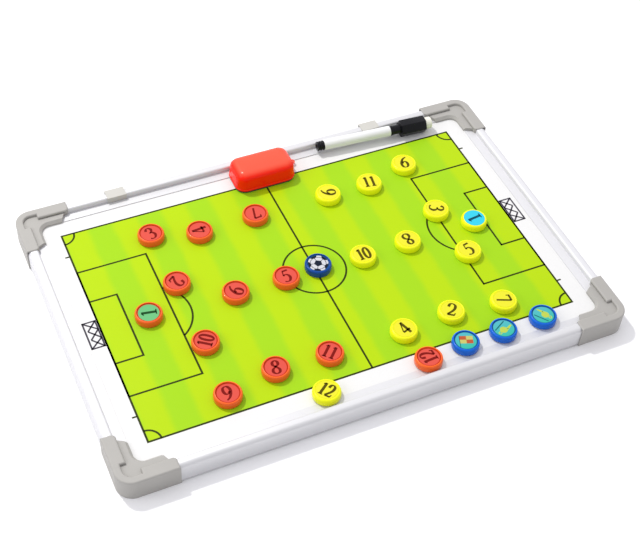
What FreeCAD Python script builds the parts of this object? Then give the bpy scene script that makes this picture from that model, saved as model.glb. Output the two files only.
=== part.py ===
"""Magnetic football tactics board with its player magnets, eraser, marker pen and hanger clips.

Millimetres. The origin is on the surface that the board lies on, under the middle of the board.
+X runs along the long side, +Y towards the side with the hanger clips, +Z up.
"""
import FreeCAD, Part
import os
import re

import Sketcher

SIZES = {
    # Frame, measured over the corner caps
    "board_length": 450,
    "board_width": 300,
    # Rails: a hollow tube with a lip over the panel's face and a shelf under its back
    "rail_height": 18.4,
    "rail_setback": 22,
    "tube_width": 9,
    "tube_wall": 1.3,
    "lip_reach": 8.4,
    "lip_thickness": 0.8,
    "shelf_level": 1.6,
    "shelf_thickness": 1.2,
    "ridge_outer_radius": 1.2,
    "ridge_inner_radius": 2,
    # Panel layers
    "panel_gap": 0.5,
    "face_thickness": 0.5,
    "core_thickness": 9,
    "back_thickness": 0.5,
    # Corner caps, lengths taken from the outer corner and widths from the outer face
    "cap_wall": 1.2,
    "cap_floor": 1.2,
    "cap_roof": 1,
    "cap_arm": 48,
    "cap_ridge_wall": 1.4,
    "cap_plate_arm": 43,
    "cap_plate_slant": 4,
    "cap_plate_overlap": 0.6,
    "cap_plate_thickness": 3.2,
    "cap_plate_bevel": 2.2,
    "cap_corner_radius": 14,
    "cap_inner_radius": 8,
    "cap_end_radius": 3.5,
    "cap_edge_radius": 1.5,
    "cap_neck_width": 6.8,
    "cap_neck_reach": 20,
    "cap_neck_radius": 7,
    "cap_slit_height": 0.8,
    "cap_slit_depth": 0.7,
    "cap_clearance": 0.1,
    "tongue_length": 18,
    # Hanger clips
    "clip_width": 17.5,
    "clip_thickness": 0.8,
    "clip_clearance": 0.2,
    "clip_drop": 12,
    "clip_edge_radius": 0.6,
    # Player magnets
    "magnet_diameter": 23.5,
    "magnet_height": 7,
    "magnet_chamfer": 1.1,
    "magnet_rim": 1.8,
    "label_recess": 0.8,
    "label_thickness": 0.3,
    "label_clearance": 0.1,
    "ferrite_diameter": 18,
    "ferrite_thickness": 3.5,
    "lean_clearance": 0.1,
    # Eraser
    "eraser_length": 58.2,
    "eraser_depth": 33,
    "eraser_height": 20,
    "eraser_wall": 2,
    "eraser_corner_radius": 8.5,
    "eraser_top_radius": 5,
    "eraser_flange": 1.2,
    "eraser_flange_thickness": 1.6,
    "felt_thickness": 2,
    "felt_inset": 0.5,
    "felt_lip_clearance": 0.3,
    "eraser_magnet_length": 34,
    "eraser_magnet_depth": 14,
    "eraser_magnet_thickness": 4,
    "lug_radius": 3,
    "lug_hole_radius": 1.6,
    "lug_offset": 2.8,
    "lug_shift": 4.6,
    "eraser_pen_gap": 30.7,
    "eraser_ridge_gap": 0.3,
    # Marker pen, lengths along its axis
    "pen_end_gap": 30,
    "pen_ridge_gap": 1.4,
    "pen_turn": -3.7,
    "barrel_diameter": 10,
    "barrel_bore": 8.2,
    "barrel_length": 67,
    "plug_diameter": 9,
    "plug_shown": 7,
    "plug_groove_depth": 0.6,
    "plug_groove_width": 1,
    "plug_depth": 8,
    "reservoir_diameter": 7,
    "section_depth": 10,
    "section_diameter": 8,
    "section_length": 13,
    "section_nose": 5,
    "section_nose_diameter": 5.6,
    "nib_diameter": 4,
    "nib_shown": 2,
    "nib_point": 2.5,
    "nib_tip_diameter": 1.6,
    "skirt_diameter": 9.6,
    "skirt_length": 10.4,
    "cap_bore": 8.6,
    "cap_bore_depth": 29,
    "hexagon_width": 14.4,
    "hexagon_length": 25.4,
    "hexagon_chamfer": 0.8,
    "pen_felt_diameter": 11.4,
    "pen_felt_shown": 6.8,
    "pen_felt_depth": 2,
    "pen_felt_chamfer": 1,
    "pen_magnet_thickness": 2.5,
}

# Places of the hanger clips on the far rail, as shares of the half length of the open face
CLIP_PLACES = {
    "hanger_left": -0.643,
    "hanger_right": 0.580,
}

# Places of the magnets on the pitch, as shares of the half length and the half width of the open face
PITCH_PLACES = {
    "red_1": (-0.729, 0.010),
    "red_2": (-0.569, 0.192),
    "red_3": (-0.579, 0.652),
    "red_4": (-0.382, 0.562),
    "red_5": (-0.141, -0.023),
    "red_6": (-0.364, -0.020),
    "red_7": (-0.124, 0.573),
    "red_8": (-0.364, -0.680),
    "red_9": (-0.580, -0.751),
    "red_10": (-0.569, -0.329),
    "red_11": (-0.137, -0.694),
    "yellow_1": (0.750, -0.013),
    "yellow_2": (0.411, -0.678),
    "yellow_3": (0.623, 0.165),
    "yellow_4": (0.187, -0.702),
    "yellow_5": (0.638, -0.252),
    "yellow_6": (0.620, 0.653),
    "yellow_7": (0.639, -0.725),
    "yellow_8": (0.423, -0.024),
    "yellow_9": (0.221, 0.572),
    "yellow_10": (0.208, -0.034),
    "yellow_11": (0.420, 0.567),
    "ball_magnet": (0.010, 0.001),
}

# Places along the near margin, where a magnet leans on the rail's lip: share of the half length,
# and how far the magnet's centre is from the edge of the lip
MARGIN_PLACES = {
    "yellow_12": (-0.227, 5.4),
    "red_12": (0.212, 4.6),
    "flag_magnet": (0.388, 8.4),
    "whistle_magnet_a": (0.561, 8.2),
    "whistle_magnet_b": (0.748, 8.6),
}

# Sizes that follow from the driving ones, as expressions
TUBE_FACE = "(cap_wall + tube_width)"
LIP_EDGE = f"({TUBE_FACE} + lip_reach)"
PANEL_EDGE = f"({TUBE_FACE} + panel_gap)"
SHELF_UNDER = "(cap_floor + shelf_level)"
SHELF_TOP = f"({SHELF_UNDER} + shelf_thickness)"
FACE_TOP = f"({SHELF_TOP} + back_thickness + core_thickness + face_thickness)"
LIP_TOP = f"({FACE_TOP} + lip_thickness)"
RIDGE_TOP = "(cap_floor + rail_height)"
CAP_RIDGE = f"({TUBE_FACE} + cap_ridge_wall)"
CAP_PLATE = f"({LIP_EDGE} + cap_plate_overlap)"
CAP_PLATE_TOP = f"({LIP_TOP} + cap_plate_thickness)"
CAP_TOP = f"({RIDGE_TOP} + cap_roof)"
HALF_LENGTH = f"(board_length / 2 - {LIP_EDGE})"
HALF_WIDTH = f"(board_width / 2 - {LIP_EDGE})"
CAP_START = "(plug_shown + barrel_length)"
HEXAGON_START = f"({CAP_START} + skirt_length)"
HEXAGON_END = f"({HEXAGON_START} + hexagon_length)"
PEN_CAP_SEAT = "(pen_felt_depth + pen_magnet_thickness)"
PEN_LENGTH = f"({HEXAGON_END} + pen_felt_shown)"
PEN_PLACE = f"({HALF_LENGTH} - pen_end_gap - {PEN_LENGTH} * cos(pen_turn))"
ERASER_PLACE = f"({PEN_PLACE} - eraser_pen_gap - eraser_length / 2)"

doc = FreeCAD.newDocument("tactics_board")
sheet = doc.addObject("Spreadsheet::Sheet", "sizes")
nodes = []


def fill_sheet():
    """One row of the sheet for each driving size: its name, and its number with that name as alias."""
    for row, (name, number) in enumerate(SIZES.items(), 1):
        sheet.set(f"A{row}", name)
        sheet.set(f"B{row}", str(number))
        sheet.setAlias(f"B{row}", name)
    doc.recompute()


def named(text):
    """The expression with each size's name pointing at its cell."""
    return re.sub(r"[a-z_]\w*", lambda word: f"sizes.{word[0]}" if word[0] in SIZES else word[0], str(text))


def value(text):
    """The expression's number."""
    result = sheet.evalExpression(named(text))
    return float(getattr(result, "Value", result))


def bind(item, path, text):
    """Ties one property of an object to the sheet."""
    item.setExpression(path, named(text))


def place(item, x="0", y="0", z="0", turn="0", axis=(0, 0, 1)):
    """Puts an object at x, y, z, turned about the axis by an angle in degrees."""
    start = FreeCAD.Rotation(FreeCAD.Vector(*axis), value(turn))
    item.Placement = FreeCAD.Placement(FreeCAD.Vector(value(x), value(y), value(z)), start)
    for letter, text in zip("xyz", (x, y, z)):
        bind(item, f"Placement.Base.{letter}", text)
    if turn != "0":
        bind(item, "Placement.Rotation.Angle", turn)


def new_body(label):
    body = doc.addObject("PartDesign::Body", label)
    body.Label = label
    return body


def node(item):
    """Marks an object as a sub-part that gets a file of its own."""
    nodes.append(item)
    return item


def new_sketch(body, name, role, offset="0"):
    """A sketch on one of the body's own planes, moved along the plane's normal."""
    sketch = body.newObject("Sketcher::SketchObject", f"{body.Name}_{name}")
    plane = next(item for item in body.Origin.OriginFeatures if item.Role == role)
    sketch.AttachmentSupport = [(plane, "")]
    sketch.MapMode = "FlatFace"
    bind(sketch, "AttachmentOffset.Base.z", offset)
    doc.recompute()
    return sketch


def tie_point(sketch, index, point, x, y):
    """Holds one point of the sketch's geometry at x, y from the sketch's origin."""
    for kind, axis, text in (("DistanceX", -2, x), ("DistanceY", -1, y)):
        if text == "0":
            sketch.addConstraint(Sketcher.Constraint("PointOnObject", index, point, axis))
            continue
        number = sketch.addConstraint(Sketcher.Constraint(kind, -1, 1, index, point, value(text)))
        sketch.setExpression(f"Constraints[{number}]", named(text))


def outline(sketch, corners):
    """A closed line through corners, each an x and a y expression."""
    first = sketch.GeometryCount
    count = len(corners)
    spots = [FreeCAD.Vector(value(x), value(y), 0) for x, y in corners]
    for index in range(count):
        sketch.addGeometry(Part.LineSegment(spots[index], spots[(index + 1) % count]), False)
    for index in range(count):
        following = first + (index + 1) % count
        sketch.addConstraint(Sketcher.Constraint("Coincident", first + index, 2, following, 1))
    for index, (x, y) in enumerate(corners):
        tie_point(sketch, first + index, 1, x, y)


def rectangle(sketch, low_x, low_y, high_x, high_y):
    outline(sketch, [(low_x, low_y), (high_x, low_y), (high_x, high_y), (low_x, high_y)])


def centred(sketch, length, depth):
    """A rectangle with its middle on the sketch's origin."""
    rectangle(sketch, f"-({length}) / 2", f"-({depth}) / 2", f"({length}) / 2", f"({depth}) / 2")


def circle(sketch, x, y, radius):
    middle = FreeCAD.Vector(value(x), value(y), 0)
    index = sketch.addGeometry(Part.Circle(middle, FreeCAD.Vector(0, 0, 1), value(radius)), False)
    tie_point(sketch, index, 3, x, y)
    number = sketch.addConstraint(Sketcher.Constraint("Radius", index, value(radius)))
    sketch.setExpression(f"Constraints[{number}]", named(radius))


def feature(body, kind, sketch, length, backwards):
    item = body.newObject(f"PartDesign::{kind}", f"{sketch.Name}_{kind.lower()}")
    item.Profile = sketch
    item.Reversed = backwards
    bind(item, "Length", length)
    doc.recompute()


def pad(body, sketch, length, backwards=False):
    feature(body, "Pad", sketch, length, backwards)


def pocket(body, sketch, length, backwards=False):
    """A cut, which has to take something away."""
    before = body.Tip.Shape.Volume
    feature(body, "Pocket", sketch, length, backwards)
    if body.Tip.Shape.Volume > before - 0.01:
        raise RuntimeError(f"{sketch.Name} cuts nothing")


def revolve(body, sketch, axis):
    item = body.newObject("PartDesign::Revolution", f"{sketch.Name}_turned")
    item.Profile = sketch
    item.ReferenceAxis = (sketch, [axis])
    item.Angle = 360
    doc.recompute()


def edges_at(body, x=None, y=None, z=None):
    """Names of the edges whose ends all lie at the given coordinates of the body's own frame."""
    wanted = [(index, value(text)) for index, text in enumerate((x, y, z)) if text is not None]
    names = []
    for number, edge in enumerate(body.Tip.Shape.Edges, 1):
        ends = [vertex.Point for vertex in edge.Vertexes]
        if all(abs(end[index] - place) < 0.001 for end in ends for index, place in wanted):
            names.append(f"Edge{number}")
    return names


def soften(body, kind, size_name, size, names):
    before = body.Tip
    item = body.newObject(f"PartDesign::{kind}", f"{body.Name}_{kind.lower()}")
    item.Base = (before, names)
    bind(item, size_name, size)
    doc.recompute()


def fillet(body, radius, names):
    soften(body, "Fillet", "Radius", radius, names)


def chamfer(body, size, names):
    soften(body, "Chamfer", "Size", size, names)


def make_rail(label, length, x, y, turn):
    """An extrusion along its own +X, with its outer face at y = 0 and its lip and shelf towards +Y."""
    body = new_body(label)
    profile = new_sketch(body, "profile", "YZ_Plane")
    reach = "tube_width + lip_reach"
    shelf = "shelf_level"
    shelf_top = "shelf_level + shelf_thickness"
    lip = f"{FACE_TOP} - cap_floor"
    lip_top = f"{LIP_TOP} - cap_floor"
    outline(profile, [
        ("0", "0"),
        ("tube_width", "0"),
        ("tube_width", shelf),
        (reach, shelf),
        (reach, shelf_top),
        ("tube_width", shelf_top),
        ("tube_width", lip),
        (reach, lip),
        (reach, lip_top),
        ("tube_width", lip_top),
        ("tube_width", "rail_height"),
        ("0", "rail_height"),
    ])
    rectangle(profile, "tube_wall", "tube_wall", "tube_width - tube_wall", "rail_height - tube_wall")
    pad(body, profile, length)
    fillet(body, "ridge_inner_radius", edges_at(body, y="tube_width", z="rail_height"))
    fillet(body, "ridge_outer_radius", edges_at(body, y="0", z="rail_height"))
    place(body, x, y, "cap_floor", turn)
    return node(body)


def make_rails():
    long_rail = "board_length - 2 * rail_setback"
    short_rail = "board_width - 2 * rail_setback"
    end_x = "(board_length / 2 - rail_setback)"
    end_y = "(board_width / 2 - rail_setback)"
    side_x = "(board_length / 2 - cap_wall)"
    side_y = "(board_width / 2 - cap_wall)"
    make_rail("rail_near", long_rail, f"-{end_x}", f"-{side_y}", "0")
    make_rail("rail_right", short_rail, side_x, f"-{end_y}", "90")
    make_rail("rail_far", long_rail, end_x, side_y, "180")
    make_rail("rail_left", short_rail, f"-{side_x}", end_y, "270")


def make_layer(label, thickness, z):
    """One flat layer of the panel, reaching into the rails and caps."""
    layer = doc.addObject("Part::Box", label)
    layer.Label = label
    bind(layer, "Length", f"board_length - 2 * {PANEL_EDGE}")
    bind(layer, "Width", f"board_width - 2 * {PANEL_EDGE}")
    bind(layer, "Height", thickness)
    place(layer, f"{PANEL_EDGE} - board_length / 2", f"{PANEL_EDGE} - board_width / 2", z)
    return node(layer)


def make_panel():
    make_layer("back_sheet", "back_thickness", SHELF_TOP)
    make_layer("panel_core", "core_thickness", f"{SHELF_TOP} + back_thickness")
    make_layer("face_sheet", "face_thickness", f"{SHELF_TOP} + back_thickness + core_thickness")


def cut_rail_channel(body, name, role, offset, backwards):
    """Room in one arm for a rail's end and the panel between its lip and shelf."""
    gap = "cap_clearance"
    inside = f"{CAP_PLATE} + cap_plate_overlap"
    channel = new_sketch(body, name, role, offset)
    outline(channel, [
        (f"cap_wall - {gap}", f"cap_floor - {gap}"),
        (f"{TUBE_FACE} + {gap}", f"cap_floor - {gap}"),
        (f"{TUBE_FACE} + {gap}", f"{SHELF_UNDER} - {gap}"),
        (inside, f"{SHELF_UNDER} - {gap}"),
        (inside, FACE_TOP),
        (f"{LIP_EDGE} + {gap}", FACE_TOP),
        (f"{LIP_EDGE} + {gap}", f"{LIP_TOP} + {gap}"),
        (f"{TUBE_FACE} + {gap}", f"{LIP_TOP} + {gap}"),
        (f"{TUBE_FACE} + {gap}", f"{RIDGE_TOP} + {gap}"),
        (f"cap_wall - {gap}", f"{RIDGE_TOP} + {gap}"),
    ])
    pocket(body, channel, "cap_arm", backwards)


def add_tongue(body, name, role, offset, backwards):
    """The plug that goes into the end of a rail's tube."""
    inset = "tube_wall + cap_clearance"
    tongue = new_sketch(body, name, role, offset)
    rectangle(
        tongue,
        f"cap_wall + {inset}",
        f"cap_floor + {inset}",
        f"{TUBE_FACE} - ({inset})",
        f"{RIDGE_TOP} - ({inset})",
    )
    pad(body, tongue, "tongue_length", backwards)


def make_corner_cap(label, x, y, turn):
    """A moulded L with its outer corner at its origin and its arms along +X and +Y."""
    body = new_body(label)
    slanted = "(cap_plate_arm - cap_plate_slant)"
    base = new_sketch(body, "base", "XY_Plane")
    outline(base, [
        ("0", "0"),
        ("cap_arm", "0"),
        ("cap_arm", CAP_RIDGE),
        ("cap_plate_arm", CAP_RIDGE),
        (slanted, CAP_PLATE),
        (CAP_PLATE, CAP_PLATE),
        (CAP_PLATE, slanted),
        (CAP_RIDGE, "cap_plate_arm"),
        (CAP_RIDGE, "cap_arm"),
        ("0", "cap_arm"),
    ])
    pad(body, base, CAP_PLATE_TOP)
    ridge = new_sketch(body, "ridge", "XY_Plane", CAP_PLATE_TOP)
    outline(ridge, [
        ("0", "0"),
        ("cap_arm", "0"),
        ("cap_arm", CAP_RIDGE),
        ("cap_neck_reach", CAP_RIDGE),
        ("cap_neck_reach", "cap_neck_width"),
        ("cap_neck_width", "cap_neck_width"),
        ("cap_neck_width", "cap_neck_reach"),
        (CAP_RIDGE, "cap_neck_reach"),
        (CAP_RIDGE, "cap_arm"),
        ("0", "cap_arm"),
    ])
    pad(body, ridge, f"{CAP_TOP} - {CAP_PLATE_TOP}")
    fillet(body, "cap_corner_radius", edges_at(body, x="0", y="0"))
    fillet(body, "cap_inner_radius", edges_at(body, x=CAP_PLATE, y=CAP_PLATE))
    inner_edges = edges_at(body, y=CAP_PLATE, z=CAP_PLATE_TOP) + edges_at(body, x=CAP_PLATE, z=CAP_PLATE_TOP)
    chamfer(body, "cap_plate_bevel", inner_edges)
    fillet(body, "cap_neck_radius", edges_at(body, x="cap_neck_width", y="cap_neck_width"))
    for end_x, end_y in (("cap_arm", CAP_RIDGE), (CAP_RIDGE, "cap_arm")):
        fillet(body, "cap_end_radius", edges_at(body, x=end_x, y=end_y))
    fillet(body, "cap_edge_radius", edges_at(body, z=CAP_TOP))
    slits = new_sketch(body, "slits", "XY_Plane", CAP_PLATE_TOP)
    along = ("cap_neck_reach", "cap_arm - cap_end_radius")
    across = (f"{CAP_RIDGE} - cap_slit_depth", CAP_RIDGE)
    rectangle(slits, along[0], across[0], along[1], across[1])
    rectangle(slits, across[0], along[0], across[1], along[1])
    pocket(body, slits, "cap_slit_height", True)
    cut_rail_channel(body, "channel_x", "YZ_Plane", "rail_setback", True)
    cut_rail_channel(body, "channel_y", "XZ_Plane", "-rail_setback", False)
    corner = new_sketch(body, "panel_corner", "XY_Plane", SHELF_TOP)
    inset = f"{PANEL_EDGE} - cap_clearance"
    rectangle(corner, inset, inset, f"{CAP_PLATE} + cap_inner_radius", f"{CAP_PLATE} + cap_inner_radius")
    pocket(body, corner, f"{FACE_TOP} - {SHELF_TOP}", True)
    add_tongue(body, "tongue_x", "YZ_Plane", "rail_setback", False)
    add_tongue(body, "tongue_y", "XZ_Plane", "-rail_setback", True)
    place(body, x, y, "0", turn)
    return node(body)


def make_corner_caps():
    corner_x = "board_length / 2"
    corner_y = "board_width / 2"
    make_corner_cap("corner_cap_near_left", f"-{corner_x}", f"-{corner_y}", "0")
    make_corner_cap("corner_cap_near_right", corner_x, f"-{corner_y}", "90")
    make_corner_cap("corner_cap_far_right", corner_x, corner_y, "180")
    make_corner_cap("corner_cap_far_left", f"-{corner_x}", corner_y, "270")


def make_hanger(label, x):
    """A saddle over the far rail's ridge, with a short inner flap and a longer outer one."""
    body = new_body(label)
    outer = "clip_clearance"
    inner = "tube_width + clip_clearance"
    top = f"{RIDGE_TOP} + clip_thickness"
    inner_foot = f"{LIP_TOP} + clip_clearance"
    outer_foot = f"{RIDGE_TOP} - clip_drop"
    profile = new_sketch(body, "profile", "YZ_Plane", "-clip_width / 2")
    outline(profile, [
        (f"-({outer} + clip_thickness)", outer_foot),
        (f"-{outer}", outer_foot),
        (f"-{outer}", RIDGE_TOP),
        (inner, RIDGE_TOP),
        (inner, inner_foot),
        (f"{inner} + clip_thickness", inner_foot),
        (f"{inner} + clip_thickness", top),
        (f"-({outer} + clip_thickness)", top),
    ])
    pad(body, profile, "clip_width")
    fillet(body, "clip_edge_radius", edges_at(body, y=f"{inner} + clip_thickness", z=top))
    fillet(body, "clip_edge_radius", edges_at(body, y=f"-({outer} + clip_thickness)", z=top))
    place(body, x, "board_width / 2 - cap_wall", "0", "180")
    return node(body)


def make_hangers():
    for label, along in CLIP_PLACES.items():
        make_hanger(label, f"{along} * {HALF_LENGTH}")


def make_magnet_pieces():
    """The moulded cup, the label disc in its recess and the ferrite disc in its underside."""
    cup = new_body("magnet_cup")
    radius = "magnet_diameter / 2"
    recess = "magnet_height - label_recess"
    profile = new_sketch(cup, "profile", "XZ_Plane")
    outline(profile, [
        ("0", "ferrite_thickness"),
        ("ferrite_diameter / 2", "ferrite_thickness"),
        ("ferrite_diameter / 2", "0"),
        (radius, "0"),
        (radius, "magnet_height - magnet_chamfer"),
        (f"{radius} - magnet_chamfer", "magnet_height"),
        (f"{radius} - magnet_rim", "magnet_height"),
        (f"{radius} - magnet_rim", recess),
        ("0", recess),
    ])
    revolve(cup, profile, "V_Axis")
    label = doc.addObject("Part::Cylinder", "magnet_label")
    bind(label, "Radius", f"{radius} - magnet_rim - label_clearance")
    bind(label, "Height", "label_thickness")
    place(label, z=recess)
    ferrite = doc.addObject("Part::Cylinder", "magnet_ferrite")
    bind(ferrite, "Radius", "ferrite_diameter / 2")
    bind(ferrite, "Height", "ferrite_thickness")
    return [cup, label, ferrite]


def make_magnets():
    """All magnets are one moulding. Those in the near margin lean on the lip of the rail."""
    pieces = make_magnet_pieces()
    for label, (along, across) in PITCH_PLACES.items():
        magnet = doc.addObject("Part::Compound", label)
        magnet.Label = label
        magnet.Links = pieces
        place(magnet, f"{along} * {HALF_LENGTH}", f"{across} * {HALF_WIDTH}", FACE_TOP)
        node(magnet)
    for label, (along, inside) in MARGIN_PLACES.items():
        magnet = doc.addObject("Part::Compound", label)
        magnet.Label = label
        magnet.Links = pieces
        rise = f"(lip_thickness + lean_clearance) / (magnet_diameter / 2 + {inside})"
        height = f"{FACE_TOP} + lean_clearance / 2 + magnet_diameter / 2 * {rise}"
        lean = f"-asin({rise})"
        place(magnet, f"{along} * {HALF_LENGTH}", f"{inside} - {HALF_WIDTH}", height, lean, (1, 0, 0))
        node(magnet)


def make_eraser():
    """Moulded case with a flange and a lug, felt under its mouth, magnet plate lying on the felt."""
    depth_place = f"{HALF_WIDTH} + lip_reach - eraser_ridge_gap - eraser_depth / 2"
    case = new_body("eraser_case")
    body_length = "eraser_length - 2 * eraser_flange"
    body_depth = "eraser_depth - 2 * eraser_flange"
    flange = new_sketch(case, "flange", "XY_Plane", "felt_thickness")
    centred(flange, "eraser_length", "eraser_depth")
    pad(case, flange, "eraser_flange_thickness")
    crown = new_sketch(case, "crown", "XY_Plane", "felt_thickness + eraser_flange_thickness")
    centred(crown, body_length, body_depth)
    pad(case, crown, "eraser_height - felt_thickness - eraser_flange_thickness")
    fillet(case, "eraser_corner_radius", upright_edges(case, body_length, body_depth))
    fillet(case, "eraser_corner_radius + eraser_flange", upright_edges(case, "eraser_length", "eraser_depth"))
    fillet(case, "eraser_top_radius", edges_at(case, z="eraser_height"))
    lug = new_sketch(case, "lug", "XY_Plane", "felt_thickness")
    circle(lug, "eraser_length / 2 + lug_offset", "lug_shift", "lug_radius")
    pad(case, lug, "eraser_flange_thickness")
    eye = new_sketch(case, "eye", "XY_Plane", "felt_thickness")
    circle(eye, "eraser_length / 2 + lug_offset", "lug_shift", "lug_hole_radius")
    pocket(case, eye, "eraser_flange_thickness", True)
    hollow = new_sketch(case, "hollow", "XY_Plane", "felt_thickness")
    centred(hollow, f"{body_length} - 2 * eraser_wall", f"{body_depth} - 2 * eraser_wall")
    pocket(case, hollow, "eraser_height - felt_thickness - eraser_top_radius", True)
    place(case, ERASER_PLACE, depth_place, FACE_TOP)
    node(case)

    felt = new_body("eraser_felt")
    felt_length = "eraser_length - 2 * felt_inset"
    felt_depth = "eraser_depth - 2 * felt_inset"
    pad_outline = new_sketch(felt, "outline", "XY_Plane")
    centred(pad_outline, felt_length, felt_depth)
    pad(felt, pad_outline, "felt_thickness")
    fillet(felt, "eraser_corner_radius", upright_edges(felt, felt_length, felt_depth))
    pressed = new_sketch(felt, "pressed", "XY_Plane")
    lip_edge = f"{HALF_WIDTH} - felt_lip_clearance - ({depth_place})"
    rectangle(pressed, "-eraser_length", lip_edge, "eraser_length", "eraser_depth")
    pocket(felt, pressed, "lip_thickness", True)
    place(felt, ERASER_PLACE, depth_place, FACE_TOP)
    node(felt)

    magnet = doc.addObject("Part::Box", "eraser_magnet")
    magnet.Label = "eraser_magnet"
    bind(magnet, "Length", "eraser_magnet_length")
    bind(magnet, "Width", "eraser_magnet_depth")
    bind(magnet, "Height", "eraser_magnet_thickness")
    place(
        magnet,
        f"{ERASER_PLACE} - eraser_magnet_length / 2",
        f"{depth_place} - eraser_magnet_depth / 2",
        f"{FACE_TOP} + felt_thickness",
    )
    node(magnet)


def upright_edges(body, length, depth):
    """The four upright edges of a block centred on the body's origin."""
    return [
        name
        for x in (f"({length}) / 2", f"-({length}) / 2")
        for y in (f"({depth}) / 2", f"-({depth}) / 2")
        for name in edges_at(body, x=x, y=y)
    ]


def lay_pen_piece(item):
    """Puts a piece of the pen on its axis, which runs along the piece's own +X from the plug's end."""
    place(
        item,
        PEN_PLACE,
        f"{HALF_WIDTH} + lip_reach - pen_ridge_gap - barrel_diameter / 2",
        f"{LIP_TOP} + hexagon_width / 2",
        "pen_turn",
    )
    return node(item)


def turned_pen_piece(label, corners):
    """A piece of the pen turned from a profile of distances along the axis and radii."""
    body = new_body(label)
    profile = new_sketch(body, "profile", "XZ_Plane")
    outline(profile, corners)
    revolve(body, profile, "H_Axis")
    return lay_pen_piece(body)


def make_pen_body():
    barrel = "barrel_diameter / 2"
    bore = "barrel_bore / 2"
    plug = "plug_diameter / 2"
    groove = f"{plug} - plug_groove_depth"
    nib = "nib_diameter / 2"
    section_start = f"{CAP_START} - section_depth"
    section_end = f"{CAP_START} + section_length + section_nose"
    turned_pen_piece("pen_barrel", [
        ("plug_shown", bore),
        (CAP_START, bore),
        (CAP_START, barrel),
        ("plug_shown", barrel),
    ])
    turned_pen_piece("pen_end_plug", [
        ("0", "0"),
        ("plug_shown + plug_depth", "0"),
        ("plug_shown + plug_depth", bore),
        ("plug_shown", bore),
        ("plug_shown", plug),
        ("plug_shown / 2 + plug_groove_width / 2", plug),
        ("plug_shown / 2 + plug_groove_width / 2", groove),
        ("plug_shown / 2 - plug_groove_width / 2", groove),
        ("plug_shown / 2 - plug_groove_width / 2", plug),
        ("plug_groove_depth", plug),
        ("0", groove),
    ])
    turned_pen_piece("pen_reservoir", [
        ("plug_shown + plug_depth", "0"),
        (section_start, "0"),
        (section_start, "reservoir_diameter / 2"),
        ("plug_shown + plug_depth", "reservoir_diameter / 2"),
    ])
    turned_pen_piece("pen_section", [
        (section_start, nib),
        (section_end, nib),
        (section_end, "section_nose_diameter / 2"),
        (f"{CAP_START} + section_length", "section_diameter / 2"),
        (CAP_START, "section_diameter / 2"),
        (CAP_START, bore),
        (section_start, bore),
    ])
    turned_pen_piece("pen_nib", [
        (section_start, "0"),
        (f"{section_end} + nib_shown + nib_point", "0"),
        (f"{section_end} + nib_shown + nib_point", "nib_tip_diameter / 2"),
        (f"{section_end} + nib_shown", nib),
        (section_start, nib),
    ])


def make_pen_cap():
    """Round skirt and six-sided body with a flat downwards, bored for the nib and recessed for its felt."""
    cap = new_body("pen_cap")
    half = "hexagon_width / 2"
    corner = "hexagon_width / sqrt(3)"
    hexagon = new_sketch(cap, "hexagon", "YZ_Plane", HEXAGON_START)
    outline(hexagon, [
        (f"-{corner} / 2", f"-{half}"),
        (f"{corner} / 2", f"-{half}"),
        (corner, "0"),
        (f"{corner} / 2", half),
        (f"-{corner} / 2", half),
        (f"-{corner}", "0"),
    ])
    pad(cap, hexagon, "hexagon_length")
    ends = edges_at(cap, x=HEXAGON_START) + edges_at(cap, x=HEXAGON_END)
    chamfer(cap, "hexagon_chamfer", ends)
    skirt = new_sketch(cap, "skirt", "YZ_Plane", CAP_START)
    circle(skirt, "0", "0", "skirt_diameter / 2")
    pad(cap, skirt, "skirt_length")
    bore = new_sketch(cap, "bore", "YZ_Plane", CAP_START)
    circle(bore, "0", "0", "cap_bore / 2")
    pocket(cap, bore, "cap_bore_depth", True)
    seat = new_sketch(cap, "seat", "YZ_Plane", f"{HEXAGON_END} - {PEN_CAP_SEAT}")
    circle(seat, "0", "0", "pen_felt_diameter / 2")
    pocket(cap, seat, PEN_CAP_SEAT, True)
    lay_pen_piece(cap)
    felt = "pen_felt_diameter / 2"
    felt_start = f"{HEXAGON_END} - pen_felt_depth"
    felt_end = f"{HEXAGON_END} + pen_felt_shown"
    turned_pen_piece("pen_cap_magnet", [
        (f"{felt_start} - pen_magnet_thickness", "0"),
        (felt_start, "0"),
        (felt_start, felt),
        (f"{felt_start} - pen_magnet_thickness", felt),
    ])
    turned_pen_piece("pen_cap_felt", [
        (felt_start, "0"),
        (felt_end, "0"),
        (felt_end, f"{felt} - pen_felt_chamfer"),
        (f"{felt_end} - pen_felt_chamfer", felt),
        (felt_start, felt),
    ])


def check_document():
    """Stops the build if any object failed or any sub-part isn't a sound solid."""
    for item in doc.Objects:
        if "Invalid" in item.State or "Error" in item.State:
            raise RuntimeError(f"{item.Name} failed: {item.State}")
    for item in nodes:
        if item.Shape.isNull() or not item.Shape.isValid() or not item.Shape.Solids:
            raise RuntimeError(f"{item.Label} has no sound solid")


def write_parts():
    os.makedirs("parts", exist_ok=True)
    for item in nodes:
        item.Shape.exportStep(f"parts/{item.Label}.step")


fill_sheet()
make_rails()
make_panel()
make_corner_caps()
make_hangers()
make_magnets()
make_eraser()
make_pen_body()
make_pen_cap()
doc.recompute()
check_document()
write_parts()
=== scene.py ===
"""Magnetic football tactics board on a white studio floor.

Lengths are in millimetres, the studio's in metres, and angles in degrees. Meshes are made in metres.
"""

import math
from functools import partial

import bmesh
import bpy
from mathutils import Matrix, Vector


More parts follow.
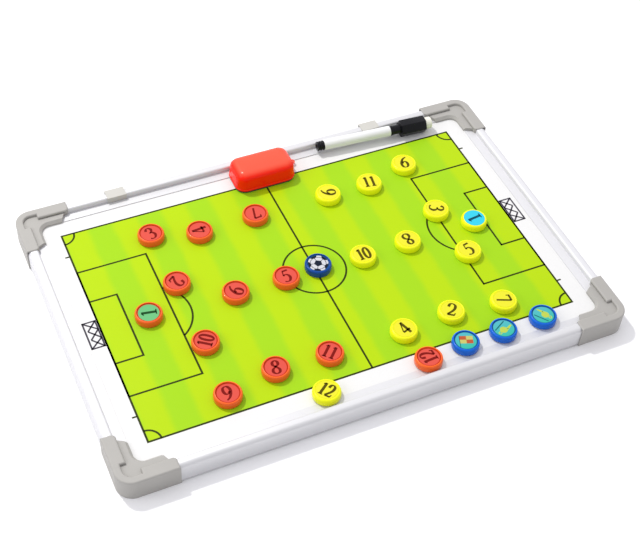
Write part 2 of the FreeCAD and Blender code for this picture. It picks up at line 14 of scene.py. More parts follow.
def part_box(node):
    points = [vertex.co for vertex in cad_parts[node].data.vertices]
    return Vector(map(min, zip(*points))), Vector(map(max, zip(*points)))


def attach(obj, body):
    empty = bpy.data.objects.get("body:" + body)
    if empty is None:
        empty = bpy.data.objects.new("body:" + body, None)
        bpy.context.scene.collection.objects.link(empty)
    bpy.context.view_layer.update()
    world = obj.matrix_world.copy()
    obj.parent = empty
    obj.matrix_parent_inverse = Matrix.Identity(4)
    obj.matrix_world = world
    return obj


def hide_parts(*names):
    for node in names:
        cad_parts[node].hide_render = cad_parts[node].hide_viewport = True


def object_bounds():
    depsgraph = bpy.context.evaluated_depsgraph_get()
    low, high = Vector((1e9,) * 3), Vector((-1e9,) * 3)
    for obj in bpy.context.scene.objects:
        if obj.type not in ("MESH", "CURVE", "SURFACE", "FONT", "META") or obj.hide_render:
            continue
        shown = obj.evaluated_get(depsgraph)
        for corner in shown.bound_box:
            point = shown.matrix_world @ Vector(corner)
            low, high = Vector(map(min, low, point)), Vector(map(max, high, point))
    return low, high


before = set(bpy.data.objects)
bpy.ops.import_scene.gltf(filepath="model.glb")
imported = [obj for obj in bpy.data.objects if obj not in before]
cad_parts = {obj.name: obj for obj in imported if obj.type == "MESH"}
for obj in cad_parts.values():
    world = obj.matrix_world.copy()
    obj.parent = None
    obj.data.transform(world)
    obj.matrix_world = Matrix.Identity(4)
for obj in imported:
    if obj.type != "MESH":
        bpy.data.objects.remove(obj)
cad_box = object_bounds()
scene = bpy.context.scene

MM = 0.001

# Camera at the photograph's viewing angle
VIEW_AZIMUTH = -27.59
VIEW_ELEVATION = 48.42
VIEW_ROLL = 4.58
VIEW_DISTANCE = 1067.2
VIEW_LENS = 69.84
VIEW_SENSOR = 36.0
VIEW_AIM = (0.5, -7.9)

# Studio: lengths in metres, directions as an azimuth from the board's near side and an elevation
FLOOR_WHITE = (0.93, 0.93, 0.94)
FLOOR_REACH = 6.0
FLOOR_GAP = 0.0002
LAMP_DISTANCE = 2.2
KEY_DIRECTION = (-155, 57)
KEY_POWER = 30.0
KEY_SIZE = 0.15
KEY_COLOUR = (1.0, 0.985, 0.95)
PANEL_DIRECTION = (-95, 35)
PANEL_POWER = 8.0
PANEL_LENGTH = 1.3
PANEL_HEIGHT = 0.9
TENT_COLOUR = (0.965, 0.96, 1.0)
TENT_BRIGHT_SIDE = (0.45, 0.89, 0.0)
TENT_LEAST = 0.68
TENT_MOST = 1.1

# Noise patterns of the materials: turns per metre and layers of detail
MOULD_DRIFT = (60.0, 3.0)
MOULD_SHEEN = (180.0, 4.0)
METAL_DRIFT = (25.0, 2.0)
METAL_LINES = (2200.0, 3.0)
FELT_HAIRS = (1800.0, 6.0)
INK_DRIFT = (900.0, 2.0)
INK_SHEEN = (120.0, 3.0)
PITCH_MOTTLE = (45.0, 4.0)
PITCH_SHEEN = (90.0, 3.0)
FLOOR_DRIFT = (8.0, 2.0)
# Grain left by a mould, and the depth of felt's hairs
GRAIN_SCALE = 2500.0
GRAIN_STRENGTH = 0.08
GRAIN_DETAIL = 2.0
GRAIN_DEPTH = 0.2
HAIR_DEPTH = 0.6
# Gloss of print, the pitch's uneven bands, and the shares of its height between which the eraser's painted
# sheen comes in
PRINT_GLOSS = 0.08
BAND_MOTTLE = 0.35
BAND_BLUR = 0.5
SHEEN_FROM = 0.80
SHEEN_FULL = 0.985

# Meshes: steps round a full turn or a corner, and the angle past which an edge stays sharp
MAGNET_STEPS = 72
LUG_STEPS = 36
PEN_STEPS = 64
ERASER_STEPS = 10
HEXAGON_STEPS = 5
STROKE_STEPS = 8
SHARP_ANGLE = 38

# Printed pitch: depths from the goal line and half widths from the middle
PITCH_MIDDLE = (-0.9, 0.3)
PITCH_HALF_LENGTH = 190.2
PITCH_HALF_WIDTH = 115.2
PITCH_BANDS = 17
PENALTY_DEPTH = 61.2
PENALTY_HALF_WIDTH = 69.4
GOAL_AREA_DEPTH = 23.8
GOAL_AREA_HALF_WIDTH = 34.6
CIRCLE_RADIUS = 27.4
ARC_SPOT = 44.0
ARC_RADIUS = 32.5
CORNER_RADIUS = 10.8
GOAL_HALF_WIDTH = 13.9
GOAL_DEPTH = 10.8
NET_CROSSES = 3
NET_INSET = 2.2
TICK_PLACE = 89.5
TICK_LENGTH = 3.4
LINE_WIDTH = 1.7
THIN_LINE_WIDTH = 1.5
PRINT_RISE = 0.02
PRINT_LAYER = 0.004
CLEAR_OF_PRINT = 3 * PRINT_RISE

# Rails, widths from the outer face and heights from the foot
TUBE_WIDTH = 9.0
LIP_THICKNESS = 0.8
SHELF_LEVEL = 1.6
SHELF_THICKNESS = 1.2
RIDGE_OUTER_RADIUS = 4.0
RIDGE_INNER_RADIUS = 2.0

# Magnets: by slot, how wide the rim is, how far its shoulder drops and how deep the label lies
RIMS = {
    "magnet_red": {"width": 1.8, "drop": 2.4, "label_depth": 0.9},
    "magnet_yellow": {"width": 2.2, "drop": 3.2, "label_depth": 0.1},
    "magnet_blue": {"width": 1.8, "drop": 2.4, "label_depth": 0.8},
}
RIM_LIP = 0.3
FOOT_ROUNDING = 0.9
LABEL_GAP = 0.1
LABEL_EDGE = 0.1
# Width of the ring of painted shadow at each label's edge, the rim's shade over the recessed label
LABEL_SHADE_RING = 0.9
LABEL_THICKNESS = 0.3
# How far each label is turned, counter-clockwise seen from above
LABEL_TURNS = {
    "red_1": 80, "red_2": -143, "red_3": 11, "red_4": 95, "red_5": -2, "red_6": 51,
    "red_7": -174, "red_8": -11, "red_9": 2, "red_10": 54, "red_11": -46, "red_12": 94,
    "yellow_1": 97, "yellow_2": -35, "yellow_3": -119, "yellow_4": 20, "yellow_5": 4, "yellow_6": -9,
    "yellow_7": -94, "yellow_8": -171, "yellow_9": -106, "yellow_10": -1, "yellow_11": -9, "yellow_12": -53,
    "ball_magnet": 8, "flag_magnet": -21, "whistle_magnet_a": -151, "whistle_magnet_b": -54,
}
TEAM_SIZE = 12

# Numerals, alone or in pairs
DIGIT_HEIGHT = 13.0
DIGIT_WIDTH = 7.9
PAIR_HEIGHT = 12.6
PAIR_WIDTH = 6.1
# Widths of a stroke as shares of the numeral's height, and how fast it narrows as it levels out
BROAD = 0.19
FINE = 0.08
BAR = 0.14
NARROWING = 1.6
# Strokes of each numeral in a box one unit high and wide: points on a smooth line and the stroke's width,
# or None for a stroke that is broad where it is upright and fine where it is level
STROKES = {
    "0": [
        ([(0.5, 1.0), (0.2, 0.82), (0.12, 0.5), (0.2, 0.18), (0.5, 0.0),
          (0.8, 0.18), (0.88, 0.5), (0.8, 0.82), (0.5, 1.0)], None),
    ],
    "1": [
        ([(0.52, 0.0), (0.52, 0.98)], BROAD),
        ([(0.2, 0.84), (0.52, 0.96)], FINE),
        ([(0.18, 0.02), (0.86, 0.02)], FINE),
    ],
    "2": [
        ([(0.12, 0.7), (0.22, 0.92), (0.5, 1.0), (0.8, 0.88), (0.82, 0.64), (0.6, 0.38), (0.12, 0.07)], None),
        ([(0.1, 0.06), (0.84, 0.06)], BAR),
        ([(0.84, 0.02), (0.94, 0.24)], FINE),
    ],
    "3": [
        ([(0.12, 0.78), (0.28, 0.96), (0.54, 0.99), (0.76, 0.82), (0.64, 0.61), (0.36, 0.54)], None),
        ([(0.36, 0.54), (0.7, 0.5), (0.86, 0.28), (0.68, 0.06), (0.38, 0.0), (0.12, 0.08)], None),
    ],
    "4": [
        ([(0.68, 0.0), (0.68, 1.0)], BROAD),
        ([(0.66, 0.97), (0.06, 0.29)], FINE),
        ([(0.05, 0.28), (0.96, 0.28)], BAR),
    ],
    "5": [
        ([(0.26, 0.93), (0.86, 0.98)], BAR),
        ([(0.28, 0.95), (0.2, 0.54)], FINE),
        ([(0.2, 0.54), (0.48, 0.63), (0.76, 0.5), (0.84, 0.28),
          (0.66, 0.06), (0.38, 0.0), (0.12, 0.06)], None),
    ],
    "6": [
        ([(0.9, 0.99), (0.54, 0.86), (0.24, 0.58), (0.14, 0.3), (0.28, 0.06), (0.52, 0.0),
          (0.78, 0.08), (0.87, 0.3), (0.76, 0.52), (0.52, 0.58), (0.26, 0.42)], None),
    ],
    "7": [
        ([(0.1, 0.93), (0.9, 0.93)], BAR),
        ([(0.13, 0.97), (0.07, 0.74)], FINE),
        ([(0.88, 0.93), (0.36, 0.0)], BAR),
    ],
    "8": [
        ([(0.5, 0.54), (0.24, 0.68), (0.24, 0.88), (0.5, 1.0), (0.76, 0.88), (0.76, 0.68), (0.5, 0.54),
          (0.18, 0.34), (0.18, 0.12), (0.5, 0.0), (0.82, 0.12), (0.82, 0.34), (0.5, 0.54)], None),
    ],
}
STROKES["9"] = [([(1 - x, 1 - y) for x, y in points], width) for points, width in STROKES["6"]]

# Pictograms, from the middle of the label
BALL_PATCHES = 5
BALL_PATCH_RADIUS = 3.8
BALL_SEAM_START = 0.95 * BALL_PATCH_RADIUS
BALL_SEAM_END = 6.0
BALL_SEAM_WIDTH = 0.5
BALL_SHOULDER = 6.9
BALL_SPREAD = 15
BALL_EDGE_SPREAD = 23
FLAG_CHECK = (5.6, 4.0)
FLAG_CORNER = (-5.2, -3.0)
FLAG_STICK_END = -7.4
FLAG_STICK_WIDTH = 0.6
WHISTLE_BODY = (1.4, 0.9)
WHISTLE_BODY_RADIUS = 3.3
WHISTLE_EYE_RADIUS = 1.8
WHISTLE_EYE_WIDTH = 0.45
WHISTLE_MOUTHPIECE = [(1.4, 1.2), (1.4, 4.1), (-7.2, 3.4), (-7.2, 2.0)]
WHISTLE_SLOT = [(-2.6, 3.2), (-1.2, 2.4)]
WHISTLE_SLOT_WIDTH = 0.6
WHISTLE_RING = (6.1, 0.6)
WHISTLE_RING_RADIUS = 1.2
WHISTLE_RING_WIDTH = 0.8
WHISTLE_BAR = [(-6.6, -4.2), (6.6, -4.2)]
WHISTLE_BAR_WIDTH = 1.0

# Eraser
ERASER_FLANGE = 0.4
ERASER_FLANGE_HEIGHT = 1.6
ERASER_FLANGE_EDGE = 0.3
ERASER_DRAFT = 0.5
ERASER_CORNER_RADIUS = 10.0
ERASER_LEAST_RADIUS = 0.5
ERASER_EDGE_RADIUS = 7.4
ERASER_CROWN = 0.4
ERASER_CROWN_SHARES = (0.3, 0.6, 0.9)
LUG_RADIUS = 3.0
LUG_HOLE_RADIUS = 1.6
LUG_EDGE = 0.3
LUG_SHIFT = 4.6
# Its felt pad, with edges as heights and insets
PAD_INSET = 0.5
PAD_FOOT_EDGE = (0.3, 0.35)
PAD_TOP_EDGE = (0.2, 0.15)
PAD_LIP_GAP = 0.3

# Pen, lengths along its axis from the end of its plug
PLUG_SHOWN = 7.0
PLUG_DEPTH = 8.0
PLUG_RIBS = 3
PLUG_RADIUS = 4.5
PLUG_HOLLOW_DEPTH = 0.8
PLUG_HOLLOW_RADIUS = 2.2
PLUG_FLOOR_RADIUS = 1.6
RIB_ROUNDING = 0.4
GROOVE_DEPTH = 0.6
GROOVE_WIDTH = 0.8
BARREL_LENGTH = 67.0
BARREL_RADIUS = 5.0
BARREL_BORE = 4.1
BARREL_EDGE = 0.6
CAP_START = PLUG_SHOWN + BARREL_LENGTH
SKIRT_LENGTH = 10.4
SKIRT_RADIUS = 4.8
SKIRT_RING = 2.6
SKIRT_EDGE = 0.3
NECK_RADIUS = 4.6
CAP_BORE = 4.3
CAP_BORE_DEPTH = 29.0
HEXAGON_START = CAP_START + SKIRT_LENGTH
HEXAGON_LENGTH = 25.4
HEXAGON_END = HEXAGON_START + HEXAGON_LENGTH
HEXAGON_WIDTH = 14.4
HEXAGON_ROUNDING = 0.9
HEXAGON_BEVEL = 0.8
BEVEL_MIDDLE = HEXAGON_BEVEL / 4
CAP_SEAT_DEPTH = 4.5
CAP_FELT_RADIUS = 5.7
CAP_FELT_GAP = 0.05
CAP_FELT_DEPTH = 2.0
CAP_FELT_SHOWN = 6.8
CAP_FELT_EDGE = 1.2
NIB_RADIUS = 2.0
NIB_START = 64.0
NIB_SHOULDER = 94.0
NIB_TIP = 96.5
NIB_DOME_ANGLES = (20, 40, 60, 75)


# Shaders

def shader(name, colour, roughness, metallic=0.0, coat=0.0, gloss=0.5):
    """A procedural material with its main values set."""
    material = bpy.data.materials.new(name)
    material.use_nodes = True
    surface = material.node_tree.nodes["Principled BSDF"]
    surface.inputs["Base Color"].default_value = (*colour, 1.0)
    surface.inputs["Roughness"].default_value = roughness
    surface.inputs["Metallic"].default_value = metallic
    surface.inputs["Coat Weight"].default_value = coat
    surface.inputs["Specular IOR Level"].default_value = gloss
    material.diffuse_color = (*colour, 1.0)
    return material, material.node_tree, surface


def add_node(tree, kind, **values):
    """One shader node with its properties or input values set."""
    node = tree.nodes.new(f"ShaderNode{kind}")
    for name, value in values.items():
        if hasattr(node, name):
            setattr(node, name, value)
        else:
            node.inputs[name.replace("_", " ")].default_value = value
    return node


def object_point(tree, stretch=(1, 1, 1)):
    """The shaded point in the object's own metres, stretched along its axes."""
    place = add_node(tree, "TexCoord")
    mapping = add_node(tree, "Mapping", Scale=stretch)
    tree.links.new(place.outputs["Object"], mapping.inputs["Vector"])
    return mapping.outputs["Vector"]


def share_of_box(tree, axis):
    """How far the shaded point lies along an axis of its object's box, from 0 to 1."""
    place = add_node(tree, "TexCoord")
    split = add_node(tree, "SeparateXYZ")
    tree.links.new(place.outputs["Generated"], split.inputs["Vector"])
    return split.outputs[axis]


def noise(tree, scale, detail, stretch=(1, 1, 1)):
    """Soft noise from 0 to 1, fixed to the object."""
    texture = add_node(tree, "TexNoise", Scale=scale, Detail=detail)
    tree.links.new(object_point(tree, stretch), texture.inputs["Vector"])
    return texture.outputs["Fac"]


def remap(tree, value, **limits):
    """A value carried over from one range to another."""
    span = add_node(tree, "MapRange", **limits)
    tree.links.new(value, span.inputs["Value"])
    return span.outputs["Result"]


def mix_colours(tree, surface, factor, first, second):
    """Base colour between two colours, by a factor."""
    mix = add_node(tree, "Mix", data_type="RGBA")
    mix.inputs["A"].default_value = (*first, 1.0)
    mix.inputs["B"].default_value = (*second, 1.0)
    tree.links.new(factor, mix.inputs["Factor"])
    tree.links.new(mix.outputs["Result"], surface.inputs["Base Color"])


def vary_colour(tree, surface, factor, colour, spread):
    """Lets the base colour wander between a darker and a lighter shade."""
    darker = [part * (1 - spread) for part in colour]
    lighter = [min(1.0, part * (1 + spread)) for part in colour]
    mix_colours(tree, surface, factor, darker, lighter)


def vary_roughness(tree, surface, factor, low, high):
    """Lets the roughness wander between two values."""
    tree.links.new(remap(tree, factor, To_Min=low, To_Max=high), surface.inputs["Roughness"])


def add_bump(tree, surface, height, strength, depth):
    """Lets a pattern stand out of the surface."""
    bump = add_node(tree, "Bump", Strength=strength, Distance=depth * MM)
    tree.links.new(height, bump.inputs["Height"])
    tree.links.new(bump.outputs["Normal"], surface.inputs["Normal"])


def mould_surface(tree, surface, roughness, grain=GRAIN_SCALE, strength=GRAIN_STRENGTH):
    """Uneven gloss and the fine grain of a mould."""
    vary_roughness(tree, surface, noise(tree, *MOULD_SHEEN), low=roughness * 0.85, high=roughness * 1.15)
    add_bump(tree, surface, noise(tree, grain, GRAIN_DETAIL), strength, GRAIN_DEPTH)


def moulded(name, colour, roughness, coat=0.0, gloss=0.3, **grain):
    """Moulded plastic, its colour drifting slowly."""
    material, tree, surface = shader(name, colour, roughness, coat=coat, gloss=gloss)
    vary_colour(tree, surface, noise(tree, *MOULD_DRIFT), colour, spread=0.04)
    mould_surface(tree, surface, roughness, **grain)
    return material


def magnet_plastic(name, colour, roughness):
    """Moulded plastic of the magnets' cups, with a little shine."""
    return moulded(name, colour, roughness, coat=0.05, gloss=0.2)


def crowned(name, side, top, roughness):
    """Moulded plastic with a paler crown than its sides, the crown's colour a painted sheen of the sky
    reflected on top.
    """
    material, tree, surface = shader(name, side, roughness, coat=0.05, gloss=0.15)
    # Painted sheen: the colour turns to the paler top colour near the top of the object's box
    painted_sheen = remap(tree, share_of_box(tree, "Z"), From_Min=SHEEN_FROM, From_Max=SHEEN_FULL,
                     interpolation_type="SMOOTHSTEP")
    mix_colours(tree, surface, painted_sheen, side, top)
    mould_surface(tree, surface, roughness)
    return material


def drawn_metal(name, colour, roughness, stretch):
    """Extruded and anodised metal under a thin white lacquer, with fine lines along the extrusion."""
    material, tree, surface = shader(name, colour, roughness, metallic=0.35)
    lines = noise(tree, *METAL_LINES, stretch)
    vary_colour(tree, surface, noise(tree, *METAL_DRIFT), colour, spread=0.03)
    vary_roughness(tree, surface, lines, low=roughness * 0.8, high=roughness * 1.25)
    add_bump(tree, surface, lines, strength=0.02, depth=GRAIN_DEPTH)
    return material


def fibre(name, colour):
    """Pressed felt: matt, with short fibres in the colour and the surface."""
    material, tree, surface = shader(name, colour, roughness=0.95)
    surface.inputs["Sheen Weight"].default_value = 0.4
    hairs = noise(tree, *FELT_HAIRS)
    vary_colour(tree, surface, hairs, colour, spread=0.2)
    add_bump(tree, surface, hairs, strength=0.7, depth=HAIR_DEPTH)
    return material


def printed(name, colour, roughness=0.3):
    """Ink on a smooth face, with the slight unevenness of a screen print."""
    material, tree, surface = shader(name, colour, roughness, gloss=PRINT_GLOSS)
    vary_colour(tree, surface, noise(tree, *INK_DRIFT), colour, spread=0.03)
    vary_roughness(tree, surface, noise(tree, *INK_SHEEN), low=roughness * 0.9, high=roughness * 1.1)
    return material


def shaded_print(name, near, far):
    """A printed label that runs from one colour at its near edge to another at its far edge."""
    material, tree, surface = shader(name, near, roughness=0.25, gloss=PRINT_GLOSS)
    mix_colours(tree, surface, share_of_box(tree, "Y"), near, far)
    vary_roughness(tree, surface, noise(tree, *INK_SHEEN), low=0.22, high=0.28)
    return material


def banded_green(yellow_green, leaf_green):
    """The pitch: two greens in soft-edged bands across the length, with the print's slight mottling."""
    material, tree, surface = shader("pitch_green", yellow_green, roughness=0.33, gloss=PRINT_GLOSS)
    # A full wave of the bands is two bands long
    two_bands = 4 * PITCH_HALF_LENGTH * MM / PITCH_BANDS
    split = add_node(tree, "SeparateXYZ")
    tree.links.new(object_point(tree, (2 * math.pi / two_bands, 1, 1)), split.inputs["Vector"])
    wave = add_node(tree, "Math", operation="COSINE")
    tree.links.new(split.outputs["X"], wave.inputs[0])
    uneven = add_node(tree, "Math", operation="ADD")
    tree.links.new(wave.outputs["Value"], uneven.inputs[0])
    mottle = remap(tree, noise(tree, *PITCH_MOTTLE), To_Min=-BAND_MOTTLE, To_Max=BAND_MOTTLE)
    tree.links.new(mottle, uneven.inputs[1])
    bands = remap(tree, uneven.outputs["Value"], From_Min=-BAND_BLUR, From_Max=BAND_BLUR,
                  interpolation_type="SMOOTHSTEP")
    mix_colours(tree, surface, bands, leaf_green, yellow_green)
    vary_roughness(tree, surface, noise(tree, *PITCH_SHEEN), low=0.28, high=0.38)
    return material


# Stretch of the metal's lines along a rail
ALONG_X = (0.001, 1, 1)
ALONG_Y = (1, 0.001, 1)
# The long and the short rails are one metal: the long rails' darker base colour is painted shade, the short
# rails' lighter one painted light
RAIL_LONG_SHADED = drawn_metal("rail_metal_long_shaded", (0.63, 0.63, 0.645), 0.42, ALONG_X)
RAIL_SHORT_LIT = drawn_metal("rail_metal_short_lit", (0.67, 0.67, 0.69), 0.6, ALONG_Y)
CAP_GREY = moulded("cap_grey", (0.36, 0.35, 0.33), 0.5, grain=1600.0, strength=0.15)
FACE_WHITE = printed("face_white", (0.70, 0.70, 0.695))
PITCH_GREEN = banded_green((0.39, 0.575, 0.005), (0.305, 0.555, 0.011))
LINE_INK = printed("line_ink", (0.028, 0.038, 0.003), 0.4)
GREY_INK = printed("grey_ink", (0.055, 0.05, 0.065), 0.4)
CORE = moulded("core_board", (0.45, 0.33, 0.2), 0.85, strength=0.4)
BACK = moulded("back_skin", (0.62, 0.63, 0.65), 0.45)
RED = magnet_plastic("magnet_red", (0.84, 0.125, 0.018), 0.3)
RED_LABEL = printed("label_red", (0.60, 0.078, 0.057))
# Dark ring at the red cups' label edges: painted shadow of the rim over the recess
RED_RECESS_SHADE = printed("label_recess_shade_red", (0.42, 0.028, 0.006))
RED_NUMBER = printed("number_red", (0.18, 0.006, 0.004))
YELLOW = magnet_plastic("magnet_yellow", (0.84, 0.87, 0.008), 0.3)
YELLOW_LABEL = printed("label_yellow", (0.68, 0.65, 0.03))
# Slightly darker ring at the yellow labels' edges: painted shadow of the rim over the recess
YELLOW_RECESS_SHADE = printed("label_recess_shade_yellow", (0.67, 0.66, 0.015))
YELLOW_NUMBER = printed("number_yellow", (0.075, 0.06, 0.001))
BLUE = magnet_plastic("magnet_blue", (0.003, 0.12, 0.60), 0.24)
NAVY = magnet_plastic("magnet_navy", (0.003, 0.055, 0.30), 0.24)
# Dark ring at the blue cups' label edges: painted shadow of the rim over the recess
BLUE_RECESS_SHADE = printed("label_recess_shade_blue", (0.006, 0.07, 0.22))
GREEN_LABEL = printed("label_green", (0.125, 0.42, 0.17))
GREEN_NUMBER = printed("number_green", (0.008, 0.06, 0.014))
CYAN_LABEL = printed("label_cyan", (0.035, 0.50, 0.66))
CYAN_NUMBER = printed("number_cyan", (0.002, 0.06, 0.10))
TEAL_LABEL = shaded_print("label_teal", (0.03, 0.41, 0.29), (0.08, 0.39, 0.46))
BALL_WHITE = printed("ball_white", (0.53, 0.535, 0.57))
BALL_NAVY = printed("ball_navy", (0.008, 0.012, 0.028))
RED_INK = printed("red_ink", (0.42, 0.085, 0.03))
YELLOW_INK = printed("yellow_ink", (0.46, 0.44, 0.12))
DARK_TEAL_INK = printed("dark_teal_ink", (0.008, 0.12, 0.12))
LIME_INK = printed("lime_ink", (0.40, 0.52, 0.06))
FERRITE = moulded("ferrite", (0.03, 0.03, 0.032), 0.6, strength=0.3)
# The eraser's paler top colour is a painted sheen of the bright sky reflected on its crown
ERASER_RED = crowned("eraser_red", (0.96, 0.015, 0.002), (0.74, 0.088, 0.048), 0.25)
FELT_BLACK = fibre("felt_black", (0.012, 0.012, 0.012))
FELT_CREAM = fibre("felt_cream", (0.80, 0.79, 0.70))
PEN_WHITE = moulded("pen_white", (0.73, 0.735, 0.74), 0.24, coat=0.1)
PEN_BLACK = moulded("pen_black", (0.004, 0.004, 0.006), 0.28, gloss=0.2)
INK_FELT = fibre("ink_felt", (0.02, 0.02, 0.025))
CLIP_WHITE = moulded("clip_white", (0.50, 0.49, 0.455), 0.45)


# Mesh helpers

def make_piece(name, skin, place, materials, body, nodes=(), shades=None, smooth=True):
    """A skin of vertices and faces, put in its place as a piece that rides on a body and stands for nodes."""
    vertices, faces = skin
    mesh = bpy.data.meshes.new(name)
    mesh.from_pydata([place @ Vector(vertex) * MM for vertex in vertices], [], faces)
    for material in materials:
        mesh.materials.append(material)
    if shades:
        mesh.polygons.foreach_set("material_index", shades)
    work = bmesh.new()
    work.from_mesh(mesh)
    bmesh.ops.recalc_face_normals(work, faces=work.faces)
    work.to_mesh(mesh)
    work.free()
    if smooth:
        mesh.shade_smooth()
        mesh.set_sharp_from_angle(angle=math.radians(SHARP_ANGLE))
    piece = bpy.data.objects.new(name, mesh)
    scene.collection.objects.link(piece)
    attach(piece, body)
    if nodes:
        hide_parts(*nodes)
    return piece


def node_box(name):
    """The lowest and the highest corner of a CAD node, in millimetres."""
    low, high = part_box(name)
    return low / MM, high / MM


def lathe(profile, steps, ring=False):
    """Skin of a profile of (radius, height) turned about Z. A ring's last point goes back to its first."""
    vertices = []
    rings = []
    for radius, height in profile:
        if radius == 0:
            rings.append([len(vertices)])
            vertices.append((0, 0, height))
            continue
        rings.append(list(range(len(vertices), len(vertices) + steps)))
        for step in range(steps):
            angle = 2 * math.pi * step / steps
            vertices.append((radius * math.cos(angle), radius * math.sin(angle), height))
    faces = []
    for lower, upper in zip(rings, rings[1:] + rings[:1] if ring else rings[1:]):
        for step in range(steps):
            after = (step + 1) % steps
            corners = [lower[step % len(lower)], lower[after % len(lower)],
                       upper[after % len(upper)], upper[step % len(upper)]]
            faces.append(list(dict.fromkeys(corners)))
    return vertices, faces


def loft(loops):
    """Skin over loops of the same number of points, closed at the first and the last loop."""
    count = len(loops[0])
    vertices = [point for loop in loops for point in loop]
    faces = [
        [low + k, low + (k + 1) % count, low + count + (k + 1) % count, low + count + k]
        for low in range(0, len(vertices) - count, count)
        for k in range(count)
    ]
    faces.append(list(reversed(range(count))))
    faces.append(list(range(len(vertices) - count, len(vertices))))
    return vertices, faces


def rounding(centre, radius, start, end, steps):
    """Points of an arc, from one angle to another."""
    angles = [math.radians(start + (end - start) * step / steps) for step in range(steps + 1)]
    return [(centre[0] + radius * math.cos(angle), centre[1] + radius * math.sin(angle)) for angle in angles]


def circle(centre, radius, steps):
    """Points of a full turn, the last one on the first."""
    return rounding(centre, radius, 0, 360, steps)


def rounded_polygon(corners, radius, steps):
    """Points counter-clockwise round a convex polygon with rounded corners."""
    loop = []
    for before, here, after in zip(corners[-1:] + corners[:-1], corners, corners[1:] + corners[:1]):
        corner = Vector(here)
        back = (Vector(before) - corner).normalized()
        ahead = (Vector(after) - corner).normalized()
        half = back.angle(ahead) / 2
        centre = corner + (back + ahead).normalized() * radius / math.sin(half)
        start = corner + back * radius / math.tan(half) - centre
        sweep = math.pi - 2 * half
        loop += [centre + Matrix.Rotation(sweep * step / steps, 2) @ start for step in range(steps + 1)]
    return loop


def smooth_line(points):
    """A rounded line through the points."""
    if len(points) == 2:
        return points
    closed = points[0] == points[-1]
    before = points[-2] if closed else points[0]
    after = points[1] if closed else points[-1]
    path = [Vector(point) for point in (before, *points, after)]
    line = []
    for a, b, c, d in zip(path, path[1:], path[2:], path[3:]):
        for step in range(STROKE_STEPS):
            s = step / STROKE_STEPS
            bend = (2 * a - 5 * b + 4 * c - d) * s ** 2 + (3 * b - a - 3 * c + d) * s ** 3
            line.append(tuple((2 * b + (c - a) * s + bend) / 2))
    return line + [points[-1]]


def ribbon(points, width):
    """A flat strip along a line: its vertices and quads. The width is a number or a function of direction."""
    vertices = []
    for index, (x, y) in enumerate(points):
        ahead = points[min(index + 1, len(points) - 1)]
        behind = points[max(index - 1, 0)]
        if points[0] == points[-1] and index in (0, len(points) - 1):
            ahead, behind = points[1], points[-2]
        dx, dy = ahead[0] - behind[0], ahead[1] - behind[1]
        length = math.hypot(dx, dy)
        half = (width(dy / length) if callable(width) else width) / 2
        vertices.append((x - dy / length * half, y + dx / length * half))
        vertices.append((x + dy / length * half, y - dx / length * half))
    quads = [(2 * k, 2 * k + 1, 2 * k + 3, 2 * k + 2) for k in range(len(points) - 1)]
    return vertices, quads


class Print:
    """Thin inked shapes on a level face, gathered as closed plates. The first ink is the usual one."""

    def __init__(self, bottom, top, inks):
        self.bottom = bottom
        self.top = top
        self.inks = inks
        self.vertices = []
        self.faces = []
        self.shades = []

    def add(self, flat, polygons, ink=None, layer=0):
        """Adds polygons over flat points as a plate, with upright sides round its edge."""
        shade = 0 if ink is None else self.inks.index(ink)
        base = len(self.vertices)
        count = len(flat)
        self.vertices += [(x, y, self.top + layer * PRINT_LAYER) for x, y in flat]
        self.vertices += [(x, y, self.bottom) for x, y in flat]
        sides = {}
        for polygon in polygons:
            self.faces.append([base + k for k in polygon])
            self.faces.append([base + count + k for k in reversed(polygon)])
            self.shades += [shade, shade]
            for a, b in zip(polygon, (*polygon[1:], polygon[0])):
                if (b, a) in sides:
                    del sides[b, a]
                else:
                    sides[a, b] = True
        for a, b in sides:
            self.faces.append([base + b, base + a, base + count + a, base + count + b])
            self.shades.append(shade)

    def line(self, points, width, ink=None, layer=0):
        self.add(*ribbon(points, width), ink, layer)

    def polygon(self, points, ink=None, layer=0):
        self.add(points, [tuple(range(len(points)))], ink, layer)

    def box(self, corner, opposite, width, ink=None):
        """The outline of a rectangle, its lines meeting in square corners."""
        (x0, y0), (x1, y1) = sorted([corner, opposite])
        half = width / 2
        self.line([(x0 - half, y0), (x1 + half, y0)], width, ink)
        self.line([(x0 - half, y1), (x1 + half, y1)], width, ink)
        self.line([(x0, y0 + half), (x0, y1 - half)], width, ink)
        self.line([(x1, y0 + half), (x1, y1 - half)], width, ink)

    def make(self, name, place, body):
        """Puts the plates in their place as one piece."""
        skin = (self.vertices, self.faces)
        make_piece(name, skin, place, self.inks, body, shades=self.shades, smooth=False)


# Board

def dress_frame():
    """Materials of the CAD nodes that stay as they are."""
    finishes = {
        "face_sheet": FACE_WHITE, "panel_core": CORE, "back_sheet": BACK,
        "hanger_left": CLIP_WHITE, "hanger_right": CLIP_WHITE,
        "eraser_magnet": FERRITE, "pen_cap_magnet": FERRITE,
        "pen_reservoir": INK_FELT, "pen_section": PEN_BLACK,
    }
    for side in ("near_left", "near_right", "far_left", "far_right"):
        finishes[f"corner_cap_{side}"] = CAP_GREY
    for name, finish in finishes.items():
        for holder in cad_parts[name].material_slots:
            holder.material = finish


def rail_section(height, reach, lip_level):
    """Outline of a rail counter-clockwise from its foot, as distances from the outer face and heights."""
    outer, inner = RIDGE_OUTER_RADIUS, RIDGE_INNER_RADIUS
    shelf_top = SHELF_LEVEL + SHELF_THICKNESS
    lip_top = lip_level + LIP_THICKNESS
    return [
        (0, 0),
        (TUBE_WIDTH, 0),
        (TUBE_WIDTH, SHELF_LEVEL),
        (reach, SHELF_LEVEL),
        (reach, shelf_top),
        (TUBE_WIDTH, shelf_top),
        (TUBE_WIDTH, lip_level),
        (reach, lip_level),
        (reach, lip_top),
        (TUBE_WIDTH, lip_top),
        *rounding((TUBE_WIDTH - inner, height - inner), inner, 0, 90, steps=6),
        *rounding((outer, height - outer), outer, 90, 180, steps=10),
    ]


